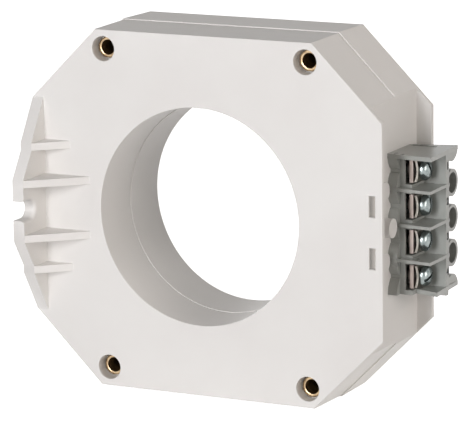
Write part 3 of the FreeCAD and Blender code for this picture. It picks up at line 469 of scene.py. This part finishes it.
# Terminal block: the solid's own shape.
blockValues = {"edgeRadius": 0.15}
block = finishedCopy("terminal_block", "terminalBlock", blockValues["edgeRadius"])
standFor(block, "terminal_block", "housing", finishes["terminal"])
print("terminal block ready")


threadValues = {"steps": 28, "sunk": 0.05}  # steps of a turn, and how deep a ridge's foot is sunk


def threadRidge(name, radius, rise, pitch, turns, start):
    # One ridge of a thread round the X axis: a rise above 0 stands out, one below 0 stands in.
    size = 0.52 * pitch  # of a triangle whose foot takes up nine tenths of the pitch
    stretch = abs(rise) / (1.5 * size)
    steps = int(threadValues["steps"] * turns)
    middle = radius + math.copysign(0.5 * size * stretch, rise)
    bpy.ops.mesh.primitive_circle_add(vertices=3, radius=size * mm, fill_type="NOTHING",
                                      location=(start * mm, middle * mm, 0),
                                      rotation=(0, 0, 0 if rise > 0 else math.pi))
    ridge = bpy.context.object
    ridge.name = name
    ridge.scale = (1, stretch, 1)
    bpy.ops.object.transform_apply(location=True, rotation=True, scale=True)
    sweep = ridge.modifiers.new("sweep", "SCREW")
    sweep.axis = "X"
    sweep.screw_offset = pitch * turns * mm
    sweep.angle = math.radians(360) * turns
    sweep.steps = steps
    sweep.render_steps = steps
    applyModifiers(ridge)
    bpy.ops.object.mode_set(mode="EDIT")
    bpy.ops.mesh.select_all(action="SELECT")
    bpy.ops.mesh.fill_holes(sides=4)
    bpy.ops.mesh.select_all(action="SELECT")
    bpy.ops.mesh.normals_make_consistent(inside=False)
    bpy.ops.object.mode_set(mode="OBJECT")
    return ridge


def placeInMesh(piece, place, turn=0.0, axis="X"):
    piece.data.transform(Matrix.Rotation(math.radians(turn), 4, axis))
    piece.data.transform(Matrix.Translation(place))


def joinPieces(name, *pieces):
    pickOnly(*pieces)
    bpy.ops.object.join()
    pieces[0].name = name
    return pieces[0]


# Terminal screws: M3.5 with a slotted pan head, made once along X with the head from X = 0.
screwValues = {
    "headRadius": 3.45,
    "headHeight": 2.45,
    "headVertices": 64,
    "crownRounding": 1.9,
    "crownSegments": 8,
    "crownRings": ((0.45, 0.13), (0.45, 0.08), (0.35, 0.03)),  # inset and rise of each
    "slotWidth": 0.95,
    "slotDepth": 1.15,
    "cutterHeight": 4.0,
    "cutterLength": 9.0,
    "threadOutside": 1.75,
    "threadInside": 1.42,
    "pitch": 0.6,
    "shankVertices": 40,
    "shankInHead": 0.1,
    "length": 7.4,
    "pointLength": 0.9,
    "pointBevel": 0.71,
    "softEdge": 0.08,
    "slotTurns": (25, 178, 158, 112),
}


def roundBar(radius, start, end, vertices):
    bpy.ops.mesh.primitive_cylinder_add(
        vertices=vertices, radius=radius * mm, depth=(end - start) * mm,
        location=((start + end) / 2 * mm, 0, 0), rotation=(0, math.radians(90), 0))
    bpy.ops.object.transform_apply(location=True, rotation=True, scale=True)
    return bpy.context.object


def pickFaces(piece, wanted):
    # Leaves edit mode open with the faces picked whose middle and normal are wanted.
    pickOnly(piece)
    bpy.ops.object.mode_set(mode="EDIT")
    bpy.ops.mesh.select_mode(type="FACE")
    bpy.ops.mesh.select_all(action="DESELECT")
    bpy.ops.object.mode_set(mode="OBJECT")
    for face in piece.data.polygons:
        face.select = wanted(face.center, face.normal)
    bpy.ops.object.mode_set(mode="EDIT")


def panHeadScrew(values):
    height = values["headHeight"]
    flat = height - sum(rise for inset, rise in values["crownRings"])
    screw = roundBar(values["headRadius"], 0, flat, values["headVertices"])
    pickFaces(screw, lambda middle, normal: normal.x > 0.9)
    bpy.ops.mesh.bevel(offset=values["crownRounding"] * mm, segments=values["crownSegments"],
                       profile=0.5, affect="EDGES")
    bpy.ops.object.mode_set(mode="OBJECT")
    pickFaces(screw, lambda middle, normal: normal.x > 0.999)
    for inset, rise in values["crownRings"]:
        bpy.ops.mesh.inset(thickness=inset * mm, depth=rise * mm)
    bpy.ops.object.mode_set(mode="OBJECT")

    slotFloor = height - values["slotDepth"]
    bpy.ops.mesh.primitive_cube_add(
        size=1, location=((slotFloor + values["cutterHeight"] / 2) * mm, 0, 0),
        scale=(values["cutterHeight"] * mm, values["slotWidth"] * mm, values["cutterLength"] * mm))
    cutter = bpy.context.object
    bpy.ops.object.transform_apply(location=True, rotation=True, scale=True)
    cutAway(screw, cutter)

    shank = roundBar(values["threadInside"], -values["length"], values["shankInHead"],
                     values["shankVertices"])
    pickFaces(shank, lambda middle, normal: normal.x < -0.9)
    bpy.ops.mesh.bevel(offset=values["pointBevel"] * mm, segments=2, affect="EDGES")
    bpy.ops.object.mode_set(mode="OBJECT")
    turns = (values["length"] - values["pointLength"]) / values["pitch"]
    foot = values["threadInside"] - threadValues["sunk"]
    ridge = threadRidge("ridge", foot, values["threadOutside"] - foot, values["pitch"], turns,
                        0.5 * values["pointLength"] - values["length"])
    screw = joinPieces("terminalScrew", screw, shank, ridge)
    addBevel(screw, values["softEdge"], turnedValues["sharp"])
    applyModifiers(screw)
    smoothByAngle(screw, turnedValues["smooth"])
    return screw


firstScrew = panHeadScrew(screwValues)
for number, turn in enumerate(screwValues["slotTurns"], start=1):
    nodeName = "terminal_screw_%d" % number
    low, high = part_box(nodeName)
    underHead = (low + high) / 2
    underHead.x = low.x + screwValues["length"] * mm
    screw = ownCopy(firstScrew, "terminalScrew%d" % number)
    placeInMesh(screw, underHead, turn)
    standFor(screw, nodeName, "screw_%d" % number, finishes["zinc"])
bpy.data.objects.remove(firstScrew)
print("terminal screws ready")

# Bars and saddles keep the stamped shape, with the edges that the press leaves.
stampedValues = {"barEdge": 0.12, "saddleEdge": 0.1, "fixingEdge": 0.1}
for number in fourTimes:
    nodeName = "terminal_bar_%d" % number
    bar = finishedCopy(nodeName, "terminalBar%d" % number, stampedValues["barEdge"])
    standFor(bar, nodeName, "housing", finishes["tinned"])
    nodeName = "saddle_washer_%d" % number
    saddle = finishedCopy(nodeName, "saddleWasher%d" % number, stampedValues["saddleEdge"])
    standFor(saddle, nodeName, "clamp_%d" % number, finishes["nickel"])
for number in (1, 2):
    nodeName = "fixing_screw_%d" % number
    fixing = finishedCopy(nodeName, "fixingScrew%d" % number, stampedValues["fixingEdge"])
    standFor(fixing, nodeName, "housing", finishes["zinc"])
print("bars, saddles and fixing screws ready")

# Threaded sleeves: turned brass tubes with an M5 thread, whose first turns show from both faces.
sleeveValues = {
    "outside": 3.45,
    "vertices": 48,
    "boreWall": 2.4,
    "threadCore": 2.1,
    "pitch": 0.8,
    "turns": 16,  # from each end
    "plainEnd": 0.2,
    "edge": 0.2,
}


def threadedTube(length, values):
    # Made along X with its middle at X = 0.
    tube = roundBar(values["outside"], -length / 2, length / 2, values["vertices"])
    pickFaces(tube, lambda middle, normal: abs(normal.x) > 0.9)
    bpy.ops.mesh.delete(type="ONLY_FACE")
    bpy.ops.object.mode_set(mode="OBJECT")
    wall = tube.modifiers.new("wall", "SOLIDIFY")
    wall.thickness = (values["outside"] - values["boreWall"]) * mm
    wall.offset = -1
    addBevel(tube, values["edge"], turnedValues["sharp"])
    applyModifiers(tube)
    foot = values["boreWall"] + threadValues["sunk"]
    reach = length / 2 - values["edge"] - values["plainEnd"]
    starts = {"nearRidge": -reach, "farRidge": reach - values["turns"] * values["pitch"]}
    ridges = [threadRidge(name, foot, values["threadCore"] - foot, values["pitch"],
                          values["turns"], start)
              for name, start in starts.items()]
    tube = joinPieces("threadedSleeve", tube, *ridges)
    smoothByAngle(tube, turnedValues["smooth"])
    return tube


low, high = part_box("threaded_sleeve_1")
firstSleeve = threadedTube((high.y - low.y) / mm, sleeveValues)
for number in fourTimes:
    nodeName = "threaded_sleeve_%d" % number
    low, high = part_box(nodeName)
    sleeve = ownCopy(firstSleeve, "threadedSleeve%d" % number)
    middle = (low + high) / 2
    placeInMesh(sleeve, middle, 90, "Z")
    standFor(sleeve, nodeName, "housing", finishes["brass"])
    # The bore and its thread take the dark brass, a painted shade of the deep bore.
    sleeve.data.materials.append(finishes["paintedBoreShade"])
    for face in sleeve.data.polygons:
        fromAxis = math.hypot(face.center.x - middle.x, face.center.z - middle.z)
        if fromAxis < sleeveValues["boreWall"] * mm:
            face.material_index = 1
bpy.data.objects.remove(firstSleeve)
print("threaded sleeves ready")

# Pole numbers, drawn black on the outer edge of the block's back wall.
numberValues = {
    "height": 2.1,
    "fontToHeight": 1.4,  # a font's size for digits of height 1
    "thickness": 0.04,
    "bolder": 0.2,
    "merge": 0.001,
    "level": 74.4,
    "behindParting": 7.1,
    "pitch": 11.3,
    "heightOfTwo": 6.1,
}
for number in fourTimes:
    bpy.ops.object.text_add()
    label = bpy.context.object
    label.data.body = str(number)
    label.data.size = numberValues["height"] * numberValues["fontToHeight"] * mm
    label.data.extrude = numberValues["thickness"] * mm
    label.data.offset = numberValues["bolder"] * mm
    label.data.align_x = "CENTER"
    label.data.align_y = "CENTER"
    pickOnly(label)
    bpy.ops.object.convert(target="MESH")
    label = bpy.context.object
    label.name = "poleNumber%d" % number
    bpy.ops.object.mode_set(mode="EDIT")
    bpy.ops.mesh.select_all(action="SELECT")
    bpy.ops.mesh.remove_doubles(threshold=numberValues["merge"] * mm)
    bpy.ops.mesh.normals_make_consistent(inside=False)
    bpy.ops.object.mode_set(mode="OBJECT")
    height = (2 - number) * numberValues["pitch"] + numberValues["heightOfTwo"]
    place = Vector((numberValues["level"], numberValues["behindParting"], height)) * mm
    label.data.transform(Matrix.Rotation(math.radians(90), 4, "X"))
    placeInMesh(label, place, 90, "Z")
    setFinish(label, finishes["numerals"])
    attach(label, "housing")
print("pole numbers ready")

# Pieces inside the closed housing keep their meshes and only take a finish.
insideFinishes = {
    "strip_wound_core": "core",
    "core_case_base": "case",
    "core_case_lid": "case",
    "secondary_winding": "secondary",
    "test_winding": "test",
}
for nodeName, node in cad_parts.items():
    if nodeName in insideFinishes:
        setFinish(node, finishes[insideFinishes[nodeName]])
    elif "_pad_" in nodeName:
        setFinish(node, finishes["foam"])
    elif nodeName.startswith("lead_wire"):
        setFinish(node, finishes["lead"])
print("inner pieces ready")


# Floor, lights and camera: what the eye, shiny surfaces and glass see round the object is
# white, and the light on the object stays plain.
def seenRay(tree):
    # 1 for rays of the camera, of shiny surfaces and through glass, else 0.
    rays = addNode(tree, "ShaderNodeLightPath").outputs
    either = addNode(tree, "ShaderNodeMath", {"operation": "MAXIMUM"},
                     _0=rays["Is Camera Ray"], _1=rays["Is Glossy Ray"])
    return addNode(tree, "ShaderNodeMath", {"operation": "MAXIMUM"},
                   _0=either.outputs["Value"], _1=rays["Is Transmission Ray"]).outputs["Value"]


def paleFloor(values):
    bpy.ops.mesh.primitive_plane_add(
        size=values["size"], location=(0, 0, cadLow[2] - values["below"]))
    floor = bpy.context.object
    floor.name = "studioFloor"
    bpy.ops.object.transform_apply(location=True, rotation=True, scale=True)
    # Paper that still takes the object's shadow: its glow only lifts the lit paper to white.
    material, tree, surface, place = newMaterial("whitePaper", 0.9)
    fibres = addNode(tree, "ShaderNodeTexNoise", Vector=place, Scale=400.0, Detail=3.0)
    surfaceBump(tree, surface, fibres.outputs["Fac"], 0.1, 0.05 * mm)
    surface.inputs["Base Color"].default_value = linearColour(values["colour"])
    surface.inputs["Emission Color"].default_value = linearColour("ffffff")
    glow = addNode(tree, "ShaderNodeMath", {"operation": "MULTIPLY"},
                   _0=seenRay(tree), _1=values["glow"])
    tree.links.new(glow.outputs["Value"], surface.inputs["Emission Strength"])
    setFinish(floor, material)


paleFloor(floorValues)


def areaLight(name, values):
    # Aimed at the middle of the bore.
    lamp = bpy.data.lights.new(name, "AREA")
    lamp.energy = values["power"]
    lamp.shape = "RECTANGLE"
    lamp.size = values["size"]
    lamp.size_y = values.get("tall", values["size"])
    lamp.color = linearColour(values["colour"])[:3]
    lampObject = bpy.data.objects.new(name, lamp)
    bpy.context.scene.collection.objects.link(lampObject)
    lampObject.location = values["place"]
    lampObject.rotation_euler = (-lampObject.location).to_track_quat("-Z", "Y").to_euler()


for name in ("key", "side", "back", "fill"):
    areaLight(name + "Light", lightValues[name])

world = bpy.data.worlds.new("studio")
bpy.context.scene.world = world
world.use_nodes = True
worldTree = world.node_tree
background = worldTree.nodes["Background"]
tint = addNode(worldTree, "ShaderNodeMix", {"data_type": "RGBA"}, Factor=seenRay(worldTree),
               _6=linearColour(lightValues["worldColour"]), _7=linearColour("ffffff"))
worldTree.links.new(tint.outputs[2], background.inputs["Color"])
level = addNode(worldTree, "ShaderNodeMapRange",
                Value=seenRay(worldTree), To_Min=lightValues["world"], To_Max=1.0)
worldTree.links.new(level.outputs["Result"], background.inputs["Strength"])

yaw, pitch, roll = (math.radians(cameraValues[name]) for name in ("yaw", "pitch", "roll"))
forward = Vector((-math.sin(yaw) * math.cos(pitch), math.cos(yaw) * math.cos(pitch),
                  -math.sin(pitch)))
levelRight = Vector((math.cos(yaw), math.sin(yaw), 0))
levelUp = levelRight.cross(forward)
right = math.cos(roll) * levelRight + math.sin(roll) * levelUp
up = -math.sin(roll) * levelRight + math.cos(roll) * levelUp
camera = bpy.data.objects.new("camera", bpy.data.cameras.new("camera"))
bpy.context.scene.collection.objects.link(camera)
cameraPlace = Matrix.Translation(Vector(cameraValues["place"]) * mm)
camera.matrix_world = cameraPlace @ Matrix((right, up, -forward)).transposed().to_4x4()
camera.data.sensor_width = cameraValues["sensorWidth"]
camera.data.lens = cameraValues["lens"]
bpy.context.scene.camera = camera
bpy.context.scene.view_settings.view_transform = "Standard"
print("floor, light and camera ready")
